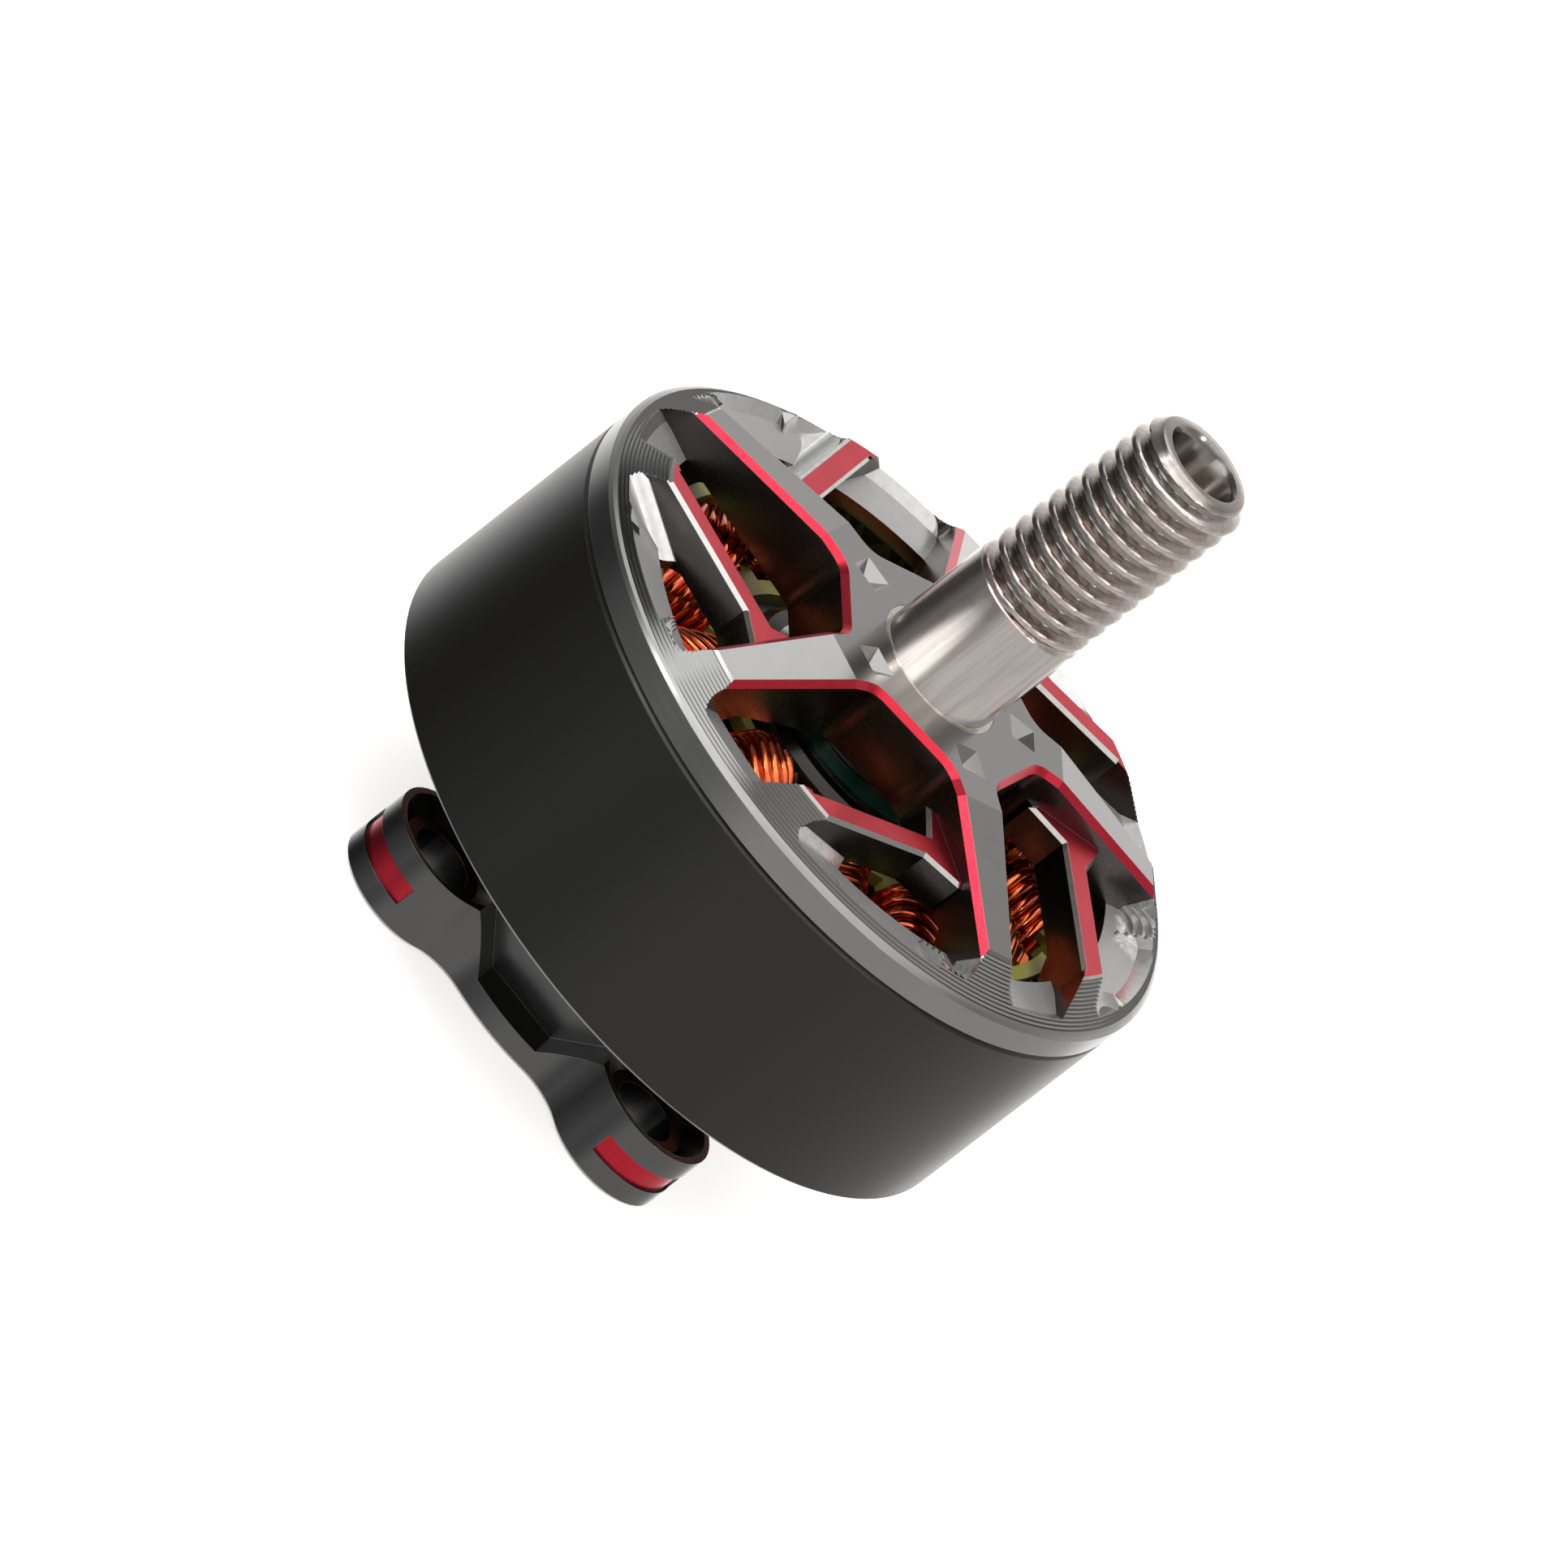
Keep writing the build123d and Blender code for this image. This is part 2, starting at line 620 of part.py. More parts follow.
with BuildPart() as bell_cap:
    with BuildSketch(Plane.XZ):
        with BuildLine():
            Polyline(
                (SHAFT_SEAT_R, BOSS_BOTTOM),
                (BOSS_R, BOSS_BOTTOM),
                (BOSS_R, CAP_UNDERSIDE),
                (CORE_R - 0.8, CAP_UNDERSIDE),
                (CORE_R - 0.2, CAP_RIM_UNDERSIDE),
                (SPIGOT_BORE_R, CAP_RIM_UNDERSIDE),
                (SPIGOT_BORE_R, SPIGOT_BOTTOM),
                (RING_BORE_R, SPIGOT_BOTTOM),
                (RING_BORE_R, RING_TOP),
                (BELL_R - RING_EDGE, RING_TOP),
                (BELL_R, RING_TOP + RING_EDGE),
                (BELL_R, RING_TOP + BAND_HEIGHT - RING_EDGE),
                (BELL_R - RING_EDGE, RING_TOP + BAND_HEIGHT),
                *groove_line,
                (RIM_TOP_R - 2 * GROOVE_PITCH_R, RIM_TOP + 2 * GROOVE_PITCH_Z),
                (RIM_TOP_R - 2 * GROOVE_PITCH_R, HUB_TOP),
                (SHAFT_SEAT_R, HUB_TOP),
                close=True,
            )
        make_face()
    revolve(axis=Axis.Z)
    add(pockets.part, mode=Mode.SUBTRACT)

    # Facets that slope down along the spokes to the rim.
    for spoke in range(SPOKE_COUNT):
        with BuildSketch(radial_section(spoke_angle_of(spoke))):
            with BuildLine():
                Polyline(
                    (FACET_START, HUB_TOP),
                    (RIM_TOP_R + 1, RIM_TOP - FACET_SLOPE),
                    (RIM_TOP_R + 1, HUB_TOP + 1),
                    (FACET_START, HUB_TOP + 1),
                    close=True,
                )
            make_face()
        extrude(amount=SPOKE_HUB_HALF + 0.5, both=True, mode=Mode.SUBTRACT)

    # Square dimples in the hub's face, one at the root of each spoke.
    for spoke in range(SPOKE_COUNT):
        dimple_angle = spoke_angle_of(spoke)
        dimple_centre = polar(DIMPLE_R, dimple_angle)
        dimple_plane = Plane(origin=(*dimple_centre, HUB_TOP), x_dir=(*polar(1, dimple_angle), 0))
        with BuildSketch(dimple_plane):
            Rectangle(DIMPLE_SIZE, DIMPLE_SIZE)
        extrude(amount=-DIMPLE_DEPTH, taper=DIMPLE_TAPER, mode=Mode.SUBTRACT)

    # Bevels along both sides of every spoke's sloping facet.
    for spoke in range(SPOKE_COUNT):
        for side in (-1, 1):
            edge_start = Vector(*spoke_wall(FACET_START, side), HUB_TOP).rotate(Axis.Z, spoke_angle_of(spoke))
            edge_end = Vector(*spoke_wall(POCKET_R, side), HUB_TOP - FACET_SLOPE * (POCKET_R - FACET_START))
            edge_run = edge_end.rotate(Axis.Z, spoke_angle_of(spoke)) - edge_start
            outward = Vector(0, side, 0).rotate(Axis.Z, spoke_angle_of(spoke))
            with BuildSketch(Plane(origin=edge_start, x_dir=outward, z_dir=edge_run)):
                with BuildLine():
                    Polyline(
                        (-2 * POCKET_EDGE, side * POCKET_EDGE),
                        (POCKET_EDGE, -2 * side * POCKET_EDGE),
                        (2 * POCKET_EDGE, 2 * side * POCKET_EDGE),
                        close=True,
                    )
                make_face()
            extrude(amount=edge_run.length, mode=Mode.SUBTRACT)
finish(bell_cap, "bell_cap")


# ---------------------------------------------------------------- shaft and what holds it

thread_line = []
for ring in range(THREAD_COUNT):
    ring_start = THREAD_START + ring * THREAD_PITCH
    thread_line.append((THREAD_ROOT_R, ring_start + THREAD_PITCH * ROOT_START_SHARE))
    thread_line.append((THREAD_ROOT_R, ring_start + THREAD_PITCH * ROOT_END_SHARE))
    thread_line.append((THREAD_CREST_R - THREAD_CREST_ROUNDING, ring_start + THREAD_PITCH * CREST_START_SHARE))
    thread_line.append((THREAD_CREST_R, ring_start + THREAD_PITCH * CREST_MIDDLE_SHARE))
    thread_line.append((THREAD_CREST_R - THREAD_CREST_ROUNDING, ring_start + THREAD_PITCH * CREST_END_SHARE))

# The thread is drawn as rings at its pitch.
with BuildPart() as shaft:
    with BuildSketch(Plane.XZ):
        with BuildLine():
            Polyline(
                (SHAFT_LOWER_BORE_R, LOWER_BEARING_Z),
                (BEARING_BORE_R, LOWER_BEARING_Z),
                (BEARING_BORE_R, BOSS_BOTTOM),
                (SHAFT_SEAT_R, BOSS_BOTTOM),
                (SHAFT_SEAT_R, HUB_TOP),
                (SHAFT_R, HUB_TOP),
                (SHAFT_R, THREAD_START),
                *thread_line,
                (SHAFT_TIP_R, SHAFT_TOP),
                (SHAFT_BORE_R + SHAFT_BORE_CHAMFER, SHAFT_TOP),
                (SHAFT_BORE_R, SHAFT_TOP - SHAFT_BORE_CHAMFER),
                (SHAFT_BORE_R, HUB_TOP),
                (SHAFT_LOWER_BORE_R, HUB_TOP - SHAFT_BORE_CHAMFER),
                close=True,
            )
        make_face()
    revolve(axis=Axis.Z)
finish(shaft, "shaft")

with BuildPart() as thrust_spacer:
    with BuildSketch(Plane.XY.offset(TUBE_TOP)):
        Circle(INNER_RACE_R)
        Circle(BEARING_BORE_R, mode=Mode.SUBTRACT)
    extrude(amount=BOSS_BOTTOM - TUBE_TOP)
finish(thrust_spacer, "thrust_spacer")

with BuildPart() as retaining_washer:
    with BuildSketch(Plane.XY.offset(WASHER_BOTTOM)):
        Circle(WASHER_R)
        Circle(SHAFT_LOWER_BORE_R, mode=Mode.SUBTRACT)
    extrude(amount=LOWER_BEARING_Z - WASHER_BOTTOM)
finish(retaining_washer, "retaining_washer")

with BuildPart() as retaining_screw:
    with BuildSketch(Plane.XY.offset(WASHER_BOTTOM - SCREW_HEAD_HEIGHT)):
        Circle(SCREW_HEAD_R)
    extrude(amount=SCREW_HEAD_HEIGHT)
    head_rim = retaining_screw.edges().group_by(Axis.Z)[0]
    fillet(head_rim, 0.35)
    with BuildSketch(Plane.XY.offset(WASHER_BOTTOM)):
        Circle(SHAFT_LOWER_BORE_R)
    extrude(amount=SCREW_END - WASHER_BOTTOM)
    with BuildSketch(Plane.XY.offset(WASHER_BOTTOM - SCREW_HEAD_HEIGHT)):
        RegularPolygon(SCREW_SOCKET_R, 6)
    extrude(amount=SCREW_HEAD_HEIGHT, mode=Mode.SUBTRACT)
finish(retaining_screw, "retaining_screw")
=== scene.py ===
import json
import random
from math import atan2, ceil, cos, degrees, floor, hypot, pi, radians, sin

import bpy
from mathutils import Matrix, Vector


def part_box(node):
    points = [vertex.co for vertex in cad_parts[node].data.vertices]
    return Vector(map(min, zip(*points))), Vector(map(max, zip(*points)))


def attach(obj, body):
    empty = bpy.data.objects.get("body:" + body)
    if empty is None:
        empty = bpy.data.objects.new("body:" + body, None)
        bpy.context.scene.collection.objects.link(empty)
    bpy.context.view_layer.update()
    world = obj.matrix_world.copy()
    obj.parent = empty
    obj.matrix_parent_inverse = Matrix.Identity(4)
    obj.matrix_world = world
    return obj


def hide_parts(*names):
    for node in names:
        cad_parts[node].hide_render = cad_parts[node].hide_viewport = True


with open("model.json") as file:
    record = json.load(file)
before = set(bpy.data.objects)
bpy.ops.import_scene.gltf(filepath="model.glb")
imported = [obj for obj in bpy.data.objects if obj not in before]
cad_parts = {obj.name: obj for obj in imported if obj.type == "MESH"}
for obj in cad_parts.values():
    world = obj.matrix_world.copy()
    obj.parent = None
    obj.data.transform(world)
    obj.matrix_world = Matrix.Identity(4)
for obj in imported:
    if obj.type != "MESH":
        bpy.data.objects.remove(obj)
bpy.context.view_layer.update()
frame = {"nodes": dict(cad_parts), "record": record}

MM = 0.001
NODES = frame["nodes"]
MOUNTS = {mount["name"]: mount for mount in frame["record"]["mounts"]}

# Heights and radii that the looks refer to, read from the frame.
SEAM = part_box("flux_ring")[1].z
HUB_TOP = MOUNTS["prop_seat"]["pos_m"][2]
SHAFT_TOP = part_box("shaft")[1].z
SHAFT_R = MOUNTS["prop_shaft"]["dims"]["r_mm"] * MM
SHOULDER = MOUNTS["prop_shaft"]["pos_m"][2] + MOUNTS["prop_shaft"]["dims"]["length_mm"] * MM / 2
LUG_CIRCLE_R = MOUNTS["base_bolts"]["dims"]["pcd_mm"] * MM / 2
CORE_BOTTOM, CORE_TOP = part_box("stator_core")[0].z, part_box("stator_core")[1].z
COIL_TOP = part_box("coil_01")[1].z

# The bell cap's spokes, as the CAD part has them.
SPOKE_COUNT = 5
SPOKE_STEP = 360 / SPOKE_COUNT
FIRST_SPOKE_ANGLE = 29.1
RIM_TOP = 17.8 * MM
CONE_START_R = 12.05 * MM
CONE_SLOPE = 0.841
BAND_TOP_R = 13.55 * MM
POCKET_R = 13.2 * MM
SPOKE_HALF = 1.15 * MM
SPOKE_END_HALF = 0.8 * MM
DIMPLE_R = 4.1 * MM
DIMPLE_REACH = 0.65 * MM
TERRACE_START = 11.2 * MM
TERRACE_REACH = 2.6 * MM
TERRACE_FOOT = 16.4 * MM
BEVEL_LEAN = 0.3
RAMP_LEAN = 0.93

# How far a face's centre may lie from the plane, rim or cone that it is known by.
PLANE_MARGIN = 0.02 * MM
RIM_MARGIN = 0.2 * MM
CONE_MARGIN = 0.09 * MM
LEDGE_MARGIN = 0.1 * MM
POCKET_MARGIN = 0.05 * MM

# The upward part of the normal of a face that is flat, nearly level, sloping or upright.
FLAT = 0.99
LEVEL = 0.9
SLOPING = 0.5
UPRIGHT = 0.3

TOOTH_COUNT = 12
FIRST_TOOTH_ANGLE = 19.5


def aimed(direction, roll_degrees=0.0):
    """Rotation of a camera or light that looks along a direction, with its own roll."""
    turn = direction.to_track_quat("-Z", "Y")
    return turn @ Matrix.Rotation(radians(roll_degrees), 3, "Z").to_quaternion()


def bearing(azimuth, elevation):
    """Unit vector towards a compass angle and a height angle, both in degrees."""
    level = cos(radians(elevation))
    return Vector((level * cos(radians(azimuth)), level * sin(radians(azimuth)), sin(radians(elevation))))


# ---------------------------------------------------------------- camera, floor and light

CAMERA_AZIMUTH = 268.0
CAMERA_ELEVATION = 25.116
CAMERA_ROLL = 52.138
CAMERA_DISTANCE = 945.7 * MM
CAMERA_LENS = 623.0
CAMERA_SHIFT_RIGHT = -2.756 * MM
CAMERA_SHIFT_UP = -1.899 * MM


def make_camera():
    """A long lens that looks at the seam between ring and cap, rolled as the object is shown."""
    back = bearing(CAMERA_AZIMUTH, CAMERA_ELEVATION)
    turn = aimed(-back, CAMERA_ROLL)
    right = turn @ Vector((1, 0, 0))
    up = turn @ Vector((0, 1, 0))
    camera = bpy.data.objects.new("camera", bpy.data.cameras.new("camera"))
    camera.data.lens = CAMERA_LENS
    camera.data.sensor_width = 36
    camera.data.clip_start = 0.01
    camera.data.clip_end = 20
    camera.rotation_mode = "QUATERNION"
    camera.rotation_quaternion = turn
    location = Vector((0, 0, SEAM)) + back * CAMERA_DISTANCE
    location = location + right * CAMERA_SHIFT_RIGHT
    camera.location = location + up * CAMERA_SHIFT_UP
    bpy.context.scene.collection.objects.link(camera)
    bpy.context.scene.camera = camera


def softbox(name, azimuth, elevation, distance, width, height, radiance, tint=(1, 1, 1)):
    """A soft rectangular light that faces the motor."""
    data = bpy.data.lights.new(name, "AREA")
    data.shape = "RECTANGLE"
    data.size = width
    data.size_y = height
    data.energy = radiance * pi * width * height
    data.color = tint
    light = bpy.data.objects.new(name, data)
    towards = bearing(azimuth, elevation)
    light.location = Vector((0, 0, SEAM)) + towards * distance
    light.rotation_mode = "QUATERNION"
    light.rotation_quaternion = aimed(-towards)
    bpy.context.scene.collection.objects.link(light)


class Graph:
    """Short ways to add nodes to a node tree."""

    def __init__(self, tree):
        self.tree = tree

    def node(self, kind, **settings):
        """A new node with its own settings."""
        made = self.tree.nodes.new(kind)
        for key, value in settings.items():
            setattr(made, key, value)
        return made

    def link(self, source, target):
        self.tree.links.new(source, target)

    def feed(self, socket, value):
        """Gives an input socket a number, or links another socket to it."""
        if isinstance(value, (int, float)):
            socket.default_value = value
        else:
            self.link(value, socket)

    def math(self, operation, first, second=None):
        """The output of a Math node. Each input is a number or a socket."""
        made = self.node("ShaderNodeMath", operation=operation)
        for socket, value in zip(made.inputs, (first, second)):
            if value is not None:
                self.feed(socket, value)
        return made.outputs[0]

    def total(self, *parts):
        """The sum of several sockets or numbers."""
        result = parts[0]
        for part in parts[1:]:
            result = self.math("ADD", result, part)
        return result

    def split(self, vector):
        """The x, y and z sockets of a vector."""
        parts = self.node("ShaderNodeSeparateXYZ")
        self.link(vector, parts.inputs[0])
        return parts.outputs

    def joined(self, x, y, z):
        """A vector made of three numbers or sockets."""
        made = self.node("ShaderNodeCombineXYZ")
        for socket, value in zip(made.inputs, (x, y, z)):
            self.feed(socket, value)
        return made.outputs[0]

    def dot(self, vector, constant):
        """Dot product of a vector socket and a constant vector."""
        made = self.node("ShaderNodeVectorMath", operation="DOT_PRODUCT")
        self.link(vector, made.inputs[0])
        made.inputs[1].default_value = constant
        return made.outputs["Value"]

    def spread(self, value, low, high, out_low, out_high, smooth=False):
        """A value from low to high turned into one from out_low to out_high."""
        made = self.node("ShaderNodeMapRange")
        if smooth:
            made.interpolation_type = "SMOOTHSTEP"
        for key, number in (("From Min", low), ("From Max", high), ("To Min", out_low), ("To Max", out_high)):
            made.inputs[key].default_value = number
        self.link(value, made.inputs["Value"])
        return made.outputs["Result"]


# The studio's soft lights by direction: compass angle, outer and inner half width, all in degrees.
RIGHT_HALF = (7, 125, 85)
LEFT_FILL = (228, 60, 20)
WINDOW = (97, 50, 18)
BACK_WALL = (88, 80, 25)

# Brightness low down: a base, and what each light adds.
LOW_BASE, LOW_RIGHT, LOW_LEFT, LOW_WINDOW = 0.06, 0.63, 0.15, 0.9
# Brightness higher up. The back wall fades from its foot to its head.
HIGH_BASE, HIGH_RIGHT = 0.14, 0.27
BACK_WALL_FADE = (0.09, 0.64, 0.72, 0.1)
LOW_TO_HIGH = (0.04, 0.26)

# Round soft boxes: compass angle, height angle, outer and inner half width in degrees, and brightness.
SOFT_BOXES = [(112, 60, 30, 14, 1.5), (215, 60, 30, 12, 0.9), (232, 8, 32, 15, 1.5), (290, 75, 50, 20, 1.15)]

# Green and blue against red where the right side's warm light is full.
WARM_GREEN, WARM_BLUE = 0.985, 0.965


def make_surroundings():
    """Soft surroundings: bright behind and to the right, darker to the left and in front, with soft boxes."""
    world = bpy.data.worlds.new("studio")
    world.use_nodes = True
    graph = Graph(world.node_tree)
    direction = graph.node("ShaderNodeTexCoord").outputs["Generated"]
    x, y, z = graph.split(direction)
    level = graph.math("SQRT", graph.math("ADD", graph.math("MULTIPLY", x, x), graph.math("MULTIPLY", y, y)))
    level = graph.math("MAXIMUM", level, 0.001)

    def compass(azimuth, outer, inner):
        """1 near a compass angle, and 0 beyond the outer one."""
        towards = graph.math("DIVIDE", graph.dot(direction, bearing(azimuth, 0)), level)
        return graph.spread(towards, cos(radians(outer)), cos(radians(inner)), 0, 1, smooth=True)

    def glow(azimuth, elevation, outer, inner, radiance):
        """A round soft box."""
        near = graph.dot(direction, bearing(azimuth, elevation))
        return graph.spread(near, cos(radians(outer)), cos(radians(inner)), 0, radiance, smooth=True)

    right_half = compass(*RIGHT_HALF)
    back_fade = graph.spread(z, *BACK_WALL_FADE, smooth=True)
    low = graph.total(LOW_BASE, graph.math("MULTIPLY", right_half, LOW_RIGHT),
                      graph.math("MULTIPLY", compass(*LEFT_FILL), LOW_LEFT),
                      graph.math("MULTIPLY", compass(*WINDOW), LOW_WINDOW))
    high = graph.total(HIGH_BASE, graph.math("MULTIPLY", right_half, HIGH_RIGHT),
                       graph.math("MULTIPLY", compass(*BACK_WALL), back_fade))
    height = graph.spread(z, *LOW_TO_HIGH, 0, 1, smooth=True)
    lower_share = graph.math("MULTIPLY", low, graph.math("SUBTRACT", 1.0, height))
    upper_share = graph.math("MULTIPLY", high, height)
    brightness = graph.total(lower_share, upper_share, *[glow(*soft_box) for soft_box in SOFT_BOXES])
    green = graph.math("MULTIPLY", brightness, graph.spread(right_half, 0, 1, 1.0, WARM_GREEN))
    blue = graph.math("MULTIPLY", brightness, graph.spread(right_half, 0, 1, 1.0, WARM_BLUE))
    background = graph.tree.nodes["Background"]
    graph.link(graph.joined(brightness, green, blue), background.inputs["Color"])
    bpy.context.scene.world = world
    bpy.context.scene.view_settings.view_transform = "Standard"


FLOOR_SIZE = 6
FLOOR_GREY = 0.86
FLOOR_GLOW = 0.7


def make_floor():
    """A pale, evenly lit floor. Metal shows the surroundings in its place."""
    bpy.ops.mesh.primitive_grid_add(x_subdivisions=8, y_subdivisions=8, size=FLOOR_SIZE)
    floor_sheet = bpy.context.object
    floor_sheet.name = "floor"
    floor_sheet.visible_glossy = False
    paint = bpy.data.materials.new("floor_paint")
    paint.use_nodes = True
    shader = paint.node_tree.nodes["Principled BSDF"]
    shader.inputs["Base Color"].default_value = (FLOOR_GREY, FLOOR_GREY, FLOOR_GREY, 1)
    shader.inputs["Roughness"].default_value = 0.7
    shader.inputs["Specular IOR Level"].default_value = 0.1
    shader.inputs["Emission Color"].default_value = (1, 1, 1, 1)
    shader.inputs["Emission Strength"].default_value = FLOOR_GLOW
    floor_sheet.data.materials.append(paint)


def make_studio():
    """The surroundings, the floor and two small lamps that put sparks on the edges."""
    make_surroundings()
    make_floor()
    softbox("spark_left", 205, 50, 0.5, 0.06, 0.09, 10.0)
    softbox("spark_right", 325, 34, 0.5, 0.05, 0.08, 14.0, (1.0, 0.96, 0.9))


# ---------------------------------------------------------------- materials


class Finish(Graph):
    """A Principled material, and short ways to add procedural detail to it."""

    def __init__(self, name, color, roughness, metallic=0.0):
        self.material = bpy.data.materials.new(name)
        self.material.use_nodes = True
        super().__init__(self.material.node_tree)
        self.shader = self.tree.nodes["Principled BSDF"]
        self.shader.inputs["Base Color"].default_value = (*color, 1)
        self.shader.inputs["Roughness"].default_value = roughness
        self.shader.inputs["Metallic"].default_value = metallic
        self.color = color
        self.roughness = roughness
        self.bump_normal = None

    def place(self):
        """Object coordinates in millimetres, as one vector socket."""
        coordinates = self.node("ShaderNodeTexCoord")
        scaled = self.node("ShaderNodeVectorMath", operation="SCALE")
        scaled.inputs["Scale"].default_value = 1 / MM
        self.link(coordinates.outputs["Object"], scaled.inputs[0])
        return scaled.outputs[0]

    def round_place(self):
        """Radius, angle and height sockets of the point, in millimetres and radians."""
        x, y, z = self.split(self.place())
        radius = self.math("SQRT", self.math("ADD", self.math("MULTIPLY", x, x), self.math("MULTIPLY", y, y)))
        return radius, self.math("ARCTAN2", y, x), z

    def noise(self, vector, scale, detail=3.0, rough=0.55, distortion=0.0):
        """A noise value from 0 to 1 at a scale in waves per millimetre."""
        made = self.node("ShaderNodeTexNoise")
        made.inputs["Scale"].default_value = scale
        made.inputs["Detail"].default_value = detail
        made.inputs["Roughness"].default_value = rough
        made.inputs["Distortion"].default_value = distortion
        self.link(vector, made.inputs["Vector"])
        return made.outputs["Fac"]

    def shade(self, amount, second_color, base=None):
        """The base colour, mixed with a second one by an amount socket."""
        made = self.node("ShaderNodeMix", data_type="RGBA")
        self.link(amount, made.inputs["Factor"])
        if base is None:
            made.inputs["A"].default_value = (*self.color, 1)
        else:
            self.link(base, made.inputs["A"])
        made.inputs["B"].default_value = (*second_color, 1)
        self.link(made.outputs["Result"], self.shader.inputs["Base Color"])
        return made.outputs["Result"]

    def vary_roughness(self, value, change):
        """Roughness that follows a value from 0 to 1 around the material's own."""
        spread = self.spread(value, 0.3, 0.7, self.roughness - change, self.roughness + change)
        self.link(spread, self.shader.inputs["Roughness"])

    def bump(self, height, depth, strength=1.0):
        """Relief of a depth in millimetres, on top of the relief before it."""
        made = self.node("ShaderNodeBump")
        made.inputs["Strength"].default_value = strength
        made.inputs["Distance"].default_value = depth * MM
        self.link(height, made.inputs["Height"])
        if self.bump_normal is not None:
            self.link(self.bump_normal, made.inputs["Normal"])
        self.bump_normal = made.outputs["Normal"]
        self.link(self.bump_normal, self.shader.inputs["Normal"])

    def soften_edges(self, radius):
        """Rounds the look of sharp edges, by a radius in millimetres. It comes before the relief."""
        made = self.node("ShaderNodeBevel", samples=6)
        made.inputs["Radius"].default_value = radius * MM
        self.bump_normal = made.outputs["Normal"]
        self.link(self.bump_normal, self.shader.inputs["Normal"])

    def edge_wear_and_highlight(self, radius):
        """1 on sharp edges and 0 away from them, as a socket; it lightens edges, partly as wear and partly as
        a painted highlight.
        """
        rounded = self.node("ShaderNodeBevel", samples=6)
        rounded.inputs["Radius"].default_value = radius * MM
        surface = self.node("ShaderNodeNewGeometry")
        product = self.node("ShaderNodeVectorMath", operation="DOT_PRODUCT")
        self.link(rounded.outputs["Normal"], product.inputs[0])
        self.link(surface.outputs["Normal"], product.inputs[1])
        return self.spread(product.outputs["Value"], 0.96, 0.75, 0.0, 1.0)


def turned_metal(name, color, roughness, grain=12.0, depth=0.0008, edges=0.03, wear_and_highlight=0.35):
    """Anodised aluminium with fine concentric turning marks, and a lighter colour along its edges, partly
    bare metal and partly a painted highlight.
    """
    finish = Finish(name, color, roughness, metallic=1.0)
    if edges:
        finish.soften_edges(edges)
    radius, angle, height = finish.round_place()
    rings = finish.joined(radius, finish.math("MULTIPLY", angle, 0.4), height)
    marks = finish.noise(rings, grain, detail=3.0)
    blotches = finish.noise(finish.place(), 0.35, detail=3.0)
    fine = finish.noise(finish.place(), 45.0, detail=2.0)
    finish.vary_roughness(finish.math("MULTIPLY", finish.math("ADD", marks, blotches), 0.5), 0.04)
    finish.bump(marks, depth)
    finish.bump(fine, 0.0003)
    tone = finish.shade(finish.spread(blotches, 0.3, 0.7, 0.0, 0.25), tuple(part * 0.8 for part in color))
    if edges:
        finish.shade(finish.math("MULTIPLY", finish.edge_wear_and_highlight(edges), wear_and_highlight), (0.7, 0.7, 0.7), tone)
    return finish.material


def milled_metal(name, color, roughness, depth, metallic=1.0):
    """Aluminium cut by a ball-ended tool: soft cusps cross it and break up its reflections."""
    finish = Finish(name, color, roughness, metallic)
    finish.soften_edges(0.03)
    cusps = finish.noise(finish.place(), 2.6, detail=3.0, rough=0.55, distortion=0.4)
    fine = finish.noise(finish.place(), 30.0, detail=2.0)
    finish.vary_roughness(cusps, 0.05)
    finish.bump(cusps, depth)
    finish.bump(fine, 0.0002)
    finish.shade(finish.spread(cusps, 0.35, 0.7, 0.0, 0.4), tuple(part * 0.7 for part in color))
    return finish.material


def red_anodised():
    """Red anodised aluminium with a fine milled grain."""
    finish = Finish("red_anodised", (0.6, 0.028, 0.05), 0.32, metallic=1.0)
    finish.soften_edges(0.03)
    grain = finish.noise(finish.place(), 16.0, detail=4.0)
    cloud = finish.noise(finish.place(), 0.8, detail=2.0)
    finish.vary_roughness(grain, 0.06)
    finish.bump(grain, 0.0016)
    tone = finish.shade(finish.spread(cloud, 0.35, 0.7, 0.0, 0.5), (0.5, 0.014, 0.034))
    # Lighter red along the edges: partly wear, partly a painted highlight.
    finish.shade(finish.math("MULTIPLY", finish.edge_wear_and_highlight(0.03), 0.25), (0.8, 0.16, 0.2), tone)
    finish.shader.inputs["Coat Weight"].default_value = 0.12
    finish.shader.inputs["Coat Roughness"].default_value = 0.3
    return finish.material


def ring_coating():
    """Black coated steel: satin, with a faint grain that runs round it."""
    finish = Finish("ring_coating", (0.0045, 0.004, 0.0036), 0.3)
    finish.soften_edges(0.05)
    radius, angle, height = finish.round_place()
    around = finish.joined(finish.math("MULTIPLY", angle, 6.0), finish.math("MULTIPLY", height, 9.0), radius)
    brushed = finish.noise(around, 1.6, detail=4.0)
    pores = finish.noise(finish.place(), 24.0, detail=2.0)
    finish.vary_roughness(brushed, 0.02)
    finish.bump(pores, 0.0006)
    # Grey along the edges: partly wear, partly a painted highlight.
    finish.shade(finish.math("MULTIPLY", finish.edge_wear_and_highlight(0.05), 0.6), (0.2, 0.2, 0.2))
    return finish.material


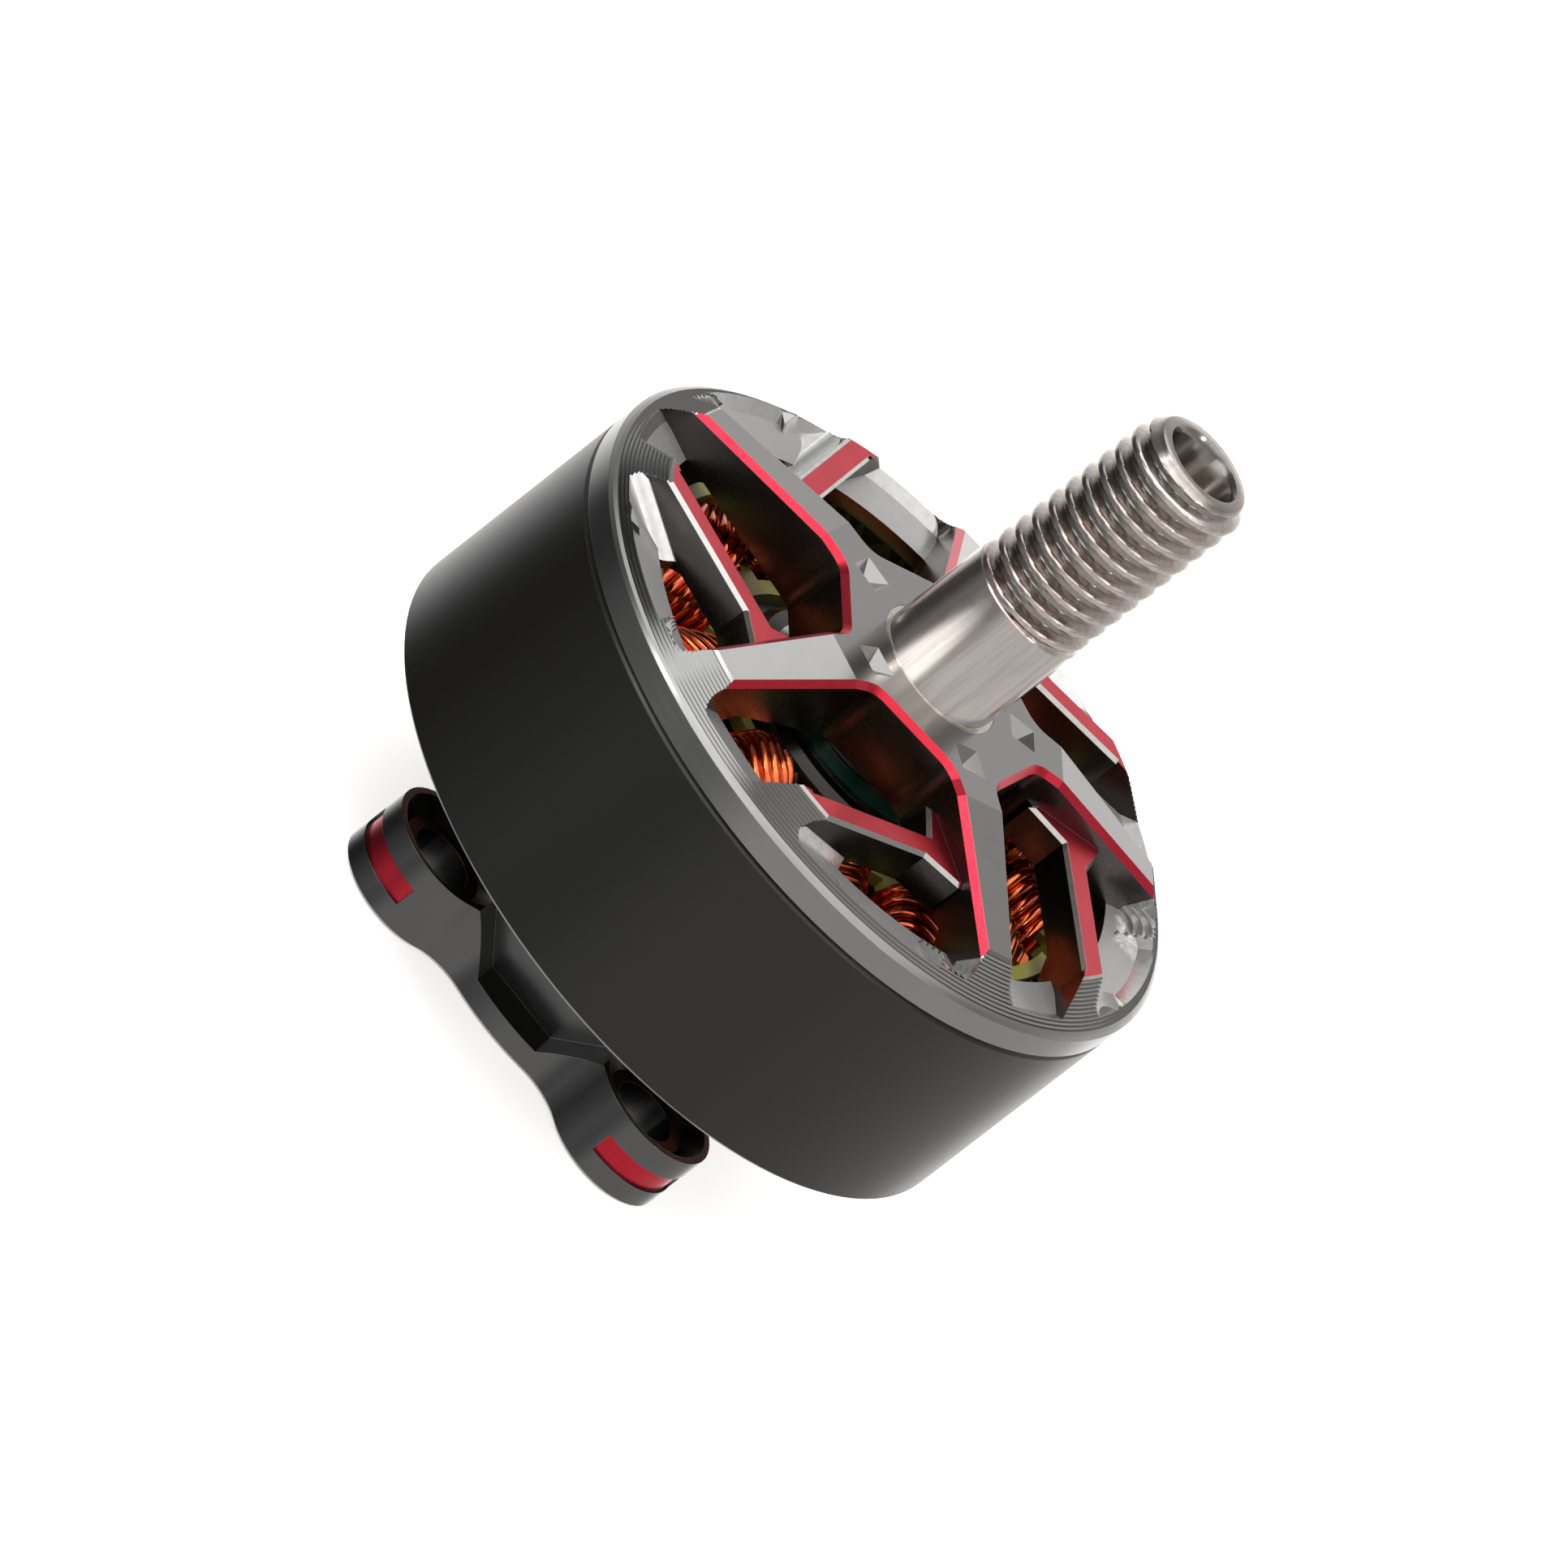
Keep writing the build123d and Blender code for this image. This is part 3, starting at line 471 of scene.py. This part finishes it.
def ground_steel(name, color, roughness, valley_shade_radii=None):
    """Polished steel with streaks along it and lines round it, with painted shade within a pair of valley
    radii.
    """
    finish = Finish(name, color, roughness, metallic=1.0)
    finish.soften_edges(0.03)
    radius, angle, height = finish.round_place()
    around = finish.joined(finish.math("MULTIPLY", angle, 0.25), height, finish.math("MULTIPLY", radius, 0.3))
    lines = finish.noise(around, 18.0, detail=4.0, rough=0.6)
    along = finish.joined(finish.math("MULTIPLY", angle, 3.2), finish.math("MULTIPLY", height, 0.07), radius)
    streaks = finish.noise(along, 3.4, detail=5.0, rough=0.6)
    stains = finish.noise(finish.place(), 1.3, detail=5.0, distortion=0.6)
    finish.vary_roughness(finish.math("MULTIPLY", finish.math("ADD", streaks, stains), 0.5), 0.07)
    finish.bump(streaks, 0.003)
    finish.bump(lines, 0.0006)
    tone = finish.shade(finish.spread(streaks, 0.4, 0.68, 0.0, 0.4), tuple(part * 0.55 for part in color))
    # The thread's valleys are painted darker: painted shade.
    if valley_shade_radii:
        finish.shade(finish.spread(radius, *valley_shade_radii, 0.6, 0.0), tuple(part * 0.25 for part in color), tone)
    return finish.material


def enamelled_copper():
    """Copper wire under clear amber enamel, a little uneven in colour along its length."""
    finish = Finish("enamelled_copper", (0.82, 0.2, 0.04), 0.13, metallic=1.0)
    cloud = finish.noise(finish.place(), 1.6, detail=3.0)
    fine = finish.noise(finish.place(), 12.0, detail=3.0)
    finish.vary_roughness(fine, 0.04)
    finish.bump(fine, 0.003)
    finish.shade(finish.spread(cloud, 0.35, 0.68, 0.0, 1.0), (0.4, 0.055, 0.012))
    finish.shader.inputs["Coat Weight"].default_value = 0.7
    finish.shader.inputs["Coat Roughness"].default_value = 0.06
    finish.shader.inputs["Coat Tint"].default_value = (1.0, 0.7, 0.46, 1)
    return finish.material


def moulded(name, color, second_color, roughness, grain=10.0, depth=0.006):
    """Moulded plastic or rubber with a fine grain and a slight change of tone."""
    finish = Finish(name, color, roughness)
    finish.soften_edges(0.06)
    grains = finish.noise(finish.place(), grain, detail=4.0)
    cloud = finish.noise(finish.place(), 0.9, detail=2.0)
    finish.vary_roughness(grains, 0.08)
    finish.bump(grains, depth)
    finish.shade(finish.spread(cloud, 0.3, 0.7, 0.0, 1.0), second_color)
    return finish.material


# Millimetres.
SHEET_THICKNESS = 0.2


def laminations():
    """Stack of thin steel sheets under dark varnish: each sheet's edge shows as a line."""
    finish = Finish("laminations", (0.06, 0.058, 0.06), 0.42, metallic=0.8)
    height = finish.split(finish.place())[2]
    sheets = finish.math("SINE", finish.math("MULTIPLY", height, 2 * pi / SHEET_THICKNESS))
    grains = finish.noise(finish.place(), 9.0, detail=3.0)
    finish.vary_roughness(grains, 0.1)
    finish.bump(sheets, 0.012)
    finish.bump(grains, 0.004)
    finish.shade(finish.spread(sheets, 0.4, 1.0, 0.0, 0.6), (0.16, 0.15, 0.15))
    return finish.material


def plated(name, color, roughness):
    """Plated or polished hard metal with faint handling marks."""
    finish = Finish(name, color, roughness, metallic=1.0)
    finish.soften_edges(0.05)
    marks = finish.noise(finish.place(), 3.0, detail=5.0, distortion=0.4)
    fine = finish.noise(finish.place(), 30.0, detail=2.0)
    finish.vary_roughness(marks, 0.06)
    finish.bump(fine, 0.001)
    finish.shade(finish.spread(marks, 0.45, 0.75, 0.0, 0.4), tuple(part * 0.7 for part in color))
    return finish.material


CAP_METAL = turned_metal("cap_metal", (0.3, 0.298, 0.295), 0.22)
# The cone's flat rings: the same turned metal as its risers and the cap, painted much darker as painted
# shade.
CONE_FLAT_PAINTED_SHADE = turned_metal("cone_flat_painted_shade", (0.12, 0.12, 0.12), 0.12, edges=0.0)
CONE_RISER = turned_metal("cone_riser", (0.33, 0.328, 0.325), 0.14, edges=0.0)
CAP_LEDGE = milled_metal("cap_ledge", (0.44, 0.44, 0.44), 0.24, depth=0.002, metallic=0.5)
CAP_RAMP = milled_metal("cap_ramp", (0.56, 0.56, 0.55), 0.16, depth=0.005, metallic=0.75)
# The pockets' upright walls: the cap's own metal painted near black, as painted shade.
CAP_WALL_PAINTED_SHADE = turned_metal("cap_wall_painted_shade", (0.11, 0.1, 0.098), 0.26, wear_and_highlight=0.1)
STRUT_BEVEL = milled_metal("strut_bevel", (0.42, 0.42, 0.4), 0.24, depth=0.005)
BASE_METAL = turned_metal("base_metal", (0.14, 0.139, 0.14), 0.26)
# Base faces that look in towards the axis or upwards: the base's metal painted near black, as painted shade.
BASE_PAINTED_SHADE = turned_metal("base_painted_shade", (0.04, 0.037, 0.036), 0.3, wear_and_highlight=0.1)
RED = red_anodised()
RING = ring_coating()
SHAFT_STEEL = ground_steel("shaft_steel", (0.66, 0.605, 0.565), 0.17, valley_shade_radii=(2.04, 2.16))
COPPER = enamelled_copper()
OLIVE = moulded("insulator_olive", (0.27, 0.27, 0.045), (0.36, 0.35, 0.09), 0.36)
TEAL = moulded("seal_teal", (0.008, 0.13, 0.095), (0.01, 0.18, 0.13), 0.34)
LAMINATIONS = laminations()
MAGNET = plated("magnet_nickel", (0.62, 0.6, 0.57), 0.2)
RACE_STEEL = ground_steel("race_steel", (0.6, 0.6, 0.6), 0.16)
BALL_STEEL = plated("ball_steel", (0.8, 0.8, 0.8), 0.06)
CAGE_STEEL = plated("cage_steel", (0.55, 0.5, 0.42), 0.3)
BLACK_OXIDE = plated("black_oxide", (0.045, 0.045, 0.05), 0.32)


# ---------------------------------------------------------------- pieces


def body_holding(node):
    """The CAD body that a node belongs to."""
    bodies = frame["record"]["behaviour"]["bodies"]
    return next(body for body, members in bodies.items() if node in members)


def stand_for(piece, node):
    """A finished piece takes a CAD node's place and moves with its body."""
    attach(piece, body_holding(node))
    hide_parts(node)
    return piece


def dress(node, material):
    """A CAD node keeps its shape and gets a better material."""
    NODES[node].material_slots[0].material = material


def dressed_copy(node, name, materials, choose):
    """A copy of a node's mesh whose faces take one of several materials, chosen by face centre and normal."""
    mesh = NODES[node].data.copy()
    mesh.name = name
    mesh.materials.clear()
    for material in materials:
        mesh.materials.append(material)
    for face in mesh.polygons:
        face.material_index = choose(face.center, face.normal)
    piece = bpy.data.objects.new(name, mesh)
    bpy.context.scene.collection.objects.link(piece)
    return stand_for(piece, node)


def lathe(name, rows, columns, material):
    """A closed turned piece. Each row is a height and a radius, or a height and a function of the angle."""
    points = []
    for height, radius in rows:
        for column in range(columns):
            angle = 2 * pi * column / columns
            reach = radius(angle) if callable(radius) else radius
            points.append((reach * cos(angle), reach * sin(angle), height))
    faces = []
    for row in range(len(rows)):
        after = (row + 1) % len(rows)
        for column in range(columns):
            beside = (column + 1) % columns
            faces.append((row * columns + column, row * columns + beside,
                          after * columns + beside, after * columns + column))
    mesh = bpy.data.meshes.new(name)
    mesh.from_pydata(points, [], faces)
    mesh.materials.append(material)
    mesh.shade_smooth()
    mesh.set_sharp_from_angle(angle=radians(35))
    piece = bpy.data.objects.new(name, mesh)
    bpy.context.scene.collection.objects.link(piece)
    return piece


def spoke_place(point):
    """How far a point is along the nearest spoke, and to its left."""
    angle = degrees(atan2(point.y, point.x)) - FIRST_SPOKE_ANGLE
    past = radians((angle + SPOKE_STEP / 2) % SPOKE_STEP - SPOKE_STEP / 2)
    reach = hypot(point.x, point.y)
    return reach * cos(past), reach * sin(past)


CAP_FINISHES = [CAP_METAL, RED, CAP_LEDGE, CAP_RAMP, STRUT_BEVEL, CONE_FLAT_PAINTED_SHADE, CONE_RISER, CAP_WALL_PAINTED_SHADE]
ON_TURNED, ON_RED, ON_LEDGE, ON_RAMP, ON_STRUT_BEVEL, ON_SHADED_CONE_FLAT, ON_CONE_RISER, ON_SHADED_WALL = range(8)


def on_red_bevel(centre, normal):
    """True on the red bevels along the windows' rims, and not where a spoke ends at the cone."""
    along, aside = spoke_place(centre)
    turn = atan2(centre.y, centre.x) - atan2(aside, along)
    sideways = abs(normal.y * cos(turn) - normal.x * sin(turn))
    beside_spoke = abs(aside) < SPOKE_HALF
    return sideways > BEVEL_LEAN if beside_spoke else centre.z > RIM_TOP + RIM_MARGIN


def choose_cap_material(centre, normal):
    """The finish of a face of the cap, as an index into CAP_FINISHES."""
    radius = hypot(centre.x, centre.y)
    along, aside = spoke_place(centre)
    in_dimple = abs(along - DIMPLE_R) < DIMPLE_REACH and abs(aside) < DIMPLE_REACH
    near_rim_top = radius < CONE_START_R + RIM_MARGIN and centre.z > RIM_TOP - RIM_MARGIN
    if SLOPING < normal.z < LEVEL and near_rim_top and not in_dimple:
        if on_red_bevel(centre, normal):
            return ON_RED
        return ON_STRUT_BEVEL if abs(aside) > SPOKE_HALF else ON_TURNED
    if normal.z > FLAT and abs(centre.z - RIM_TOP) < PLANE_MARGIN:
        return ON_RED
    cone_height = RIM_TOP - (radius - CONE_START_R) * CONE_SLOPE
    if CONE_START_R < radius < BAND_TOP_R and abs(centre.z - cone_height) < CONE_MARGIN:
        # The flat rings of the cone take the darker copy of the metal, which is painted shade.
        return ON_SHADED_CONE_FLAT if normal.z > LEVEL else ON_CONE_RISER if normal.z < SLOPING else ON_TURNED
    in_pocket = radius < POCKET_R - PLANE_MARGIN and centre.z > SEAM
    beside_spoke_end = -TERRACE_REACH < aside < -SPOKE_END_HALF
    on_terrace = along > TERRACE_START and beside_spoke_end and centre.z > TERRACE_FOOT
    if in_pocket and abs(normal.z) < UPRIGHT:
        # Upright pocket walls off the terraces take the darker copy of the metal, which is painted shade.
        return ON_RAMP if on_terrace else ON_SHADED_WALL
    if centre.z < RIM_TOP - LEDGE_MARGIN and radius < POCKET_R + POCKET_MARGIN and centre.z > SEAM:
        return ON_RAMP if on_terrace or normal.z < RAMP_LEAN else ON_LEDGE
    return ON_TURNED


def make_cap():
    """The bell's cap, with its eight finishes; the cone's flats and the pockets' walls carry painted shade.
    """
    dressed_copy("bell_cap", "bell_cap_anodised", CAP_FINISHES, choose_cap_material)


# The engraved marks of the lugs: the radius of their floor round the lug, and between which heights they lie.
MARK_FLOOR_R = 2.48 * MM
MARK_LOW = 0.9 * MM
MARK_HIGH = 1.9 * MM
MARK_MARGIN = 0.03 * MM
FIRST_LUG_ANGLE = 45
LUG_STEP = 90

BASE_FINISHES = [BASE_METAL, RED, BASE_PAINTED_SHADE]
ON_OUTSIDE, ON_MARK, ON_SHADED_RECESS = range(3)


def choose_base_material(centre, normal):
    """The finish of a face of the base, as an index into BASE_FINISHES."""
    lug_number = floor(degrees(atan2(centre.y, centre.x)) / LUG_STEP)
    lug_angle = radians(FIRST_LUG_ANGLE + LUG_STEP * lug_number)
    lug = Vector((LUG_CIRCLE_R * cos(lug_angle), LUG_CIRCLE_R * sin(lug_angle), 0))
    outward = Vector((centre.x, centre.y, 0)) - lug
    upright = abs(normal.z) < 0.1
    on_mark = abs(outward.length - MARK_FLOOR_R) < MARK_MARGIN and MARK_LOW < centre.z < MARK_HIGH
    if upright and on_mark and outward.dot(lug) > 0:
        return ON_MARK
    # Faces turned to the axis or upwards take the darker copy of the metal, which is painted shade.
    faces_axis = centre.x * normal.x + centre.y * normal.y < 0
    return ON_SHADED_RECESS if faces_axis or normal.z > UPRIGHT else ON_OUTSIDE


def make_base():
    """The base, with red marks, and painted shade on its recesses and upward faces."""
    dressed_copy("base", "base_anodised", BASE_FINISHES, choose_base_material)


THREAD_PITCH = 0.8 * MM
THREAD_CREST_R = 2.47 * MM
THREAD_ROOT_R = 2.03 * MM
CREST_SHARE = 0.2
FLANK_SHARE = 0.56
RUN_IN_SHARE = 0.35
ROWS_PER_PITCH = 20
SHAFT_COLUMNS = 128
TIP_R = 2.02 * MM
TIP_CHAMFER = 0.6 * MM
BORE_R = 1.45 * MM
LOWER_BORE_R = 1.25 * MM
JOURNAL_R = 2.0 * MM
SEAT_R = 2.69 * MM

# Small steps and broken edges of the shaft, from its foot to the mouth of its bore.
FOOT_CHAMFER = 0.1 * MM
SEAT_SINK = 0.015 * MM
SEAT_ROUNDING = 0.02 * MM
SHOULDER_CHAMFER_HEIGHT = 0.06 * MM
SHOULDER_CHAMFER_DEPTH = 0.05 * MM
TIP_ROUNDING = 0.02 * MM
MOUTH_R = BORE_R + 0.17 * MM
MOUTH_LIP_R = BORE_R + 0.13 * MM
MOUTH_LIP_DEPTH = 0.06 * MM
MOUTH_DEPTH = 0.26 * MM
BORE_STEP_DEPTH = 0.3 * MM


def thread_radius(angle, height):
    """Radius of a rounded right-hand thread that starts at the shoulder, cut back by the tip's chamfer."""
    turn = ((height - SHOULDER) / THREAD_PITCH - angle / (2 * pi)) % 1.0
    from_crest = abs(turn - 0.5) * 2
    share = min(max((from_crest - CREST_SHARE) / FLANK_SHARE, 0.0), 1.0)
    crest = 1 - share * share * (3 - 2 * share)
    fade = min(1.0, (height - SHOULDER) / (RUN_IN_SHARE * THREAD_PITCH))
    radius = THREAD_CREST_R - (THREAD_CREST_R - THREAD_ROOT_R) * (1 - crest) * fade
    return min(radius, TIP_R + (SHAFT_TOP - height) * (THREAD_CREST_R - TIP_R) / TIP_CHAMFER)


def make_shaft():
    """Ground shaft with its thread, its tip and its bore."""
    bottom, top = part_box("shaft")[0].z, SHAFT_TOP
    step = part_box("thrust_spacer")[1].z
    seat_top = HUB_TOP - SEAT_SINK
    rows = [
        (bottom, LOWER_BORE_R),
        (bottom, JOURNAL_R - FOOT_CHAMFER),
        (bottom + FOOT_CHAMFER, JOURNAL_R),
        (step, JOURNAL_R),
        (step, SEAT_R),
        (seat_top, SEAT_R),
        (seat_top, SHAFT_R + SEAT_ROUNDING),
        (HUB_TOP + SEAT_ROUNDING, SHAFT_R),
        (SHOULDER - SHOULDER_CHAMFER_HEIGHT, SHAFT_R),
        (SHOULDER, SHAFT_R - SHOULDER_CHAMFER_DEPTH),
    ]
    row_count = ceil((top - SHOULDER) / THREAD_PITCH * ROWS_PER_PITCH)
    for row in range(row_count):
        height = SHOULDER + (top - SHOULDER) * (row + 0.5) / row_count
        rows.append((height, lambda angle, height=height: thread_radius(angle, height)))
    rows += [
        (top, TIP_R - TIP_ROUNDING),
        (top, MOUTH_R),
        (top - MOUTH_LIP_DEPTH, MOUTH_LIP_R),
        (top - MOUTH_DEPTH, BORE_R),
        (HUB_TOP, BORE_R),
        (HUB_TOP - BORE_STEP_DEPTH, LOWER_BORE_R),
    ]
    stand_for(lathe("shaft_threaded", rows, SHAFT_COLUMNS, SHAFT_STEEL), "shaft")


WIRE_R = 0.23 * MM
STRANDS = 3
LOOP_POINTS = 28
COIL_INNER_R = 7.0 * MM
COIL_OUTER_R = 9.9 * MM
COIL_KNEE_R = 8.0 * MM
COIL_DROP = 0.75 * MM
COIL_SQUARENESS = 3.6
COIL_INNER_HALF = 1.72 * MM
COIL_OUTER_HALF = 2.45 * MM

STRAND_PITCH = 2.02 * WIRE_R
LAYER_DEPTH = 1.9 * WIRE_R
STRAND_WOBBLE = 0.03 * MM
STRAND_LIFT = 0.025 * MM
LIFT_RATE = 7.0
# A strand is drawn up to this share of a pitch before and past its winding's ends.
END_SLACK = 0.4
# Degrees round the loop: where a strand starts to step to its next place, and for how long.
CROSSING_START = 35
CROSSING_SPAN = 110


def coil_point(tooth_turn, radius, around, inset):
    """Point on a winding loop: at a radius along the tooth, and an angle round the tooth's section."""
    share = (radius - COIL_INNER_R) / (COIL_OUTER_R - COIL_INNER_R)
    half_width = COIL_INNER_HALF + share * (COIL_OUTER_HALF - COIL_INNER_HALF) - inset
    past_knee = max(0.0, radius - COIL_KNEE_R) / (COIL_OUTER_R - COIL_KNEE_R)
    half_height = COIL_TOP - (CORE_TOP + CORE_BOTTOM) / 2 - inset - COIL_DROP * past_knee
    across, along = cos(around), sin(around)
    size = (abs(across) ** COIL_SQUARENESS + abs(along) ** COIL_SQUARENESS) ** (1 / COIL_SQUARENESS)
    middle = (CORE_TOP + CORE_BOTTOM) / 2
    return tooth_turn @ Vector((radius, half_width * across / size, middle + half_height * along / size))


def wind_layer(curve, tooth_turn, inset, slant, chance):
    """Adds one layer of parallel strands, which step along the tooth where they cross its top."""
    first, last = COIL_INNER_R + WIRE_R, COIL_OUTER_R - WIRE_R
    places = (last - first) / STRAND_PITCH
    for strand in range(STRANDS):
        wobble = chance.uniform(-STRAND_WOBBLE, STRAND_WOBBLE)
        points = []
        for step in range(int((places / STRANDS + 2) * LOOP_POINTS)):
            turns = step / LOOP_POINTS - 1
            around = 2 * pi * (turns % 1.0) - pi / 2
            crossing = min(max((around - radians(CROSSING_START)) / radians(CROSSING_SPAN), 0.0), 1.0)
            crossing = crossing * crossing * (3 - 2 * crossing)
            place = strand + STRANDS * (floor(turns) + crossing)
            if not -END_SLACK <= place <= places + END_SLACK:
                continue
            along = place if slant > 0 else places - place
            lift = STRAND_LIFT * sin(LIFT_RATE * turns + strand)
            radius = first + min(max(along, 0.0), places) * STRAND_PITCH + wobble
            points.append(coil_point(tooth_turn, radius, around, inset + WIRE_R - lift))
        spline = curve.splines.new("NURBS")
        spline.points.add(len(points) - 1)
        for target, point in zip(spline.points, points):
            target.co = (*point, 1)
        spline.order_u = 3
        spline.use_endpoint_u = True


def make_coils():
    """Three strands in hand are wound round each tooth, layer over layer."""
    chance = random.Random(7)
    for number in range(TOOTH_COUNT):
        node = f"coil_{number + 1:02d}"
        angle = FIRST_TOOTH_ANGLE + 360 / TOOTH_COUNT * number
        tooth_turn = Matrix.Rotation(radians(angle), 3, "Z")
        curve = bpy.data.curves.new(f"winding_{number + 1:02d}", "CURVE")
        curve.dimensions = "3D"
        curve.bevel_depth = WIRE_R
        curve.bevel_resolution = 2
        curve.resolution_u = 3
        curve.use_fill_caps = True
        curve.materials.append(COPPER)
        wind_layer(curve, tooth_turn, 0.0, 1 if number % 2 else -1, chance)
        wind_layer(curve, tooth_turn, LAYER_DEPTH, -1 if number % 2 else 1, chance)
        piece = bpy.data.objects.new(curve.name, curve)
        bpy.context.scene.collection.objects.link(piece)
        stand_for(piece, node)


BEARING_FINISHES = {"_race": RACE_STEEL, "_balls": BALL_STEEL, "_cage": CAGE_STEEL, "_seal": TEAL}


def dress_the_rest():
    """CAD nodes that keep their shape."""
    dress("flux_ring", RING)
    dress("stator_core", LAMINATIONS)
    dress("upper_insulator", OLIVE)
    dress("lower_insulator", OLIVE)
    dress("thrust_spacer", RACE_STEEL)
    dress("retaining_washer", BLACK_OXIDE)
    dress("retaining_screw", BLACK_OXIDE)
    for node in NODES:
        if node.startswith("magnet_"):
            dress(node, MAGNET)
        for ending, material in BEARING_FINISHES.items():
            if node.endswith(ending):
                dress(node, material)


make_camera()
make_studio()
make_cap()
make_base()
make_shaft()
make_coils()
dress_the_rest()
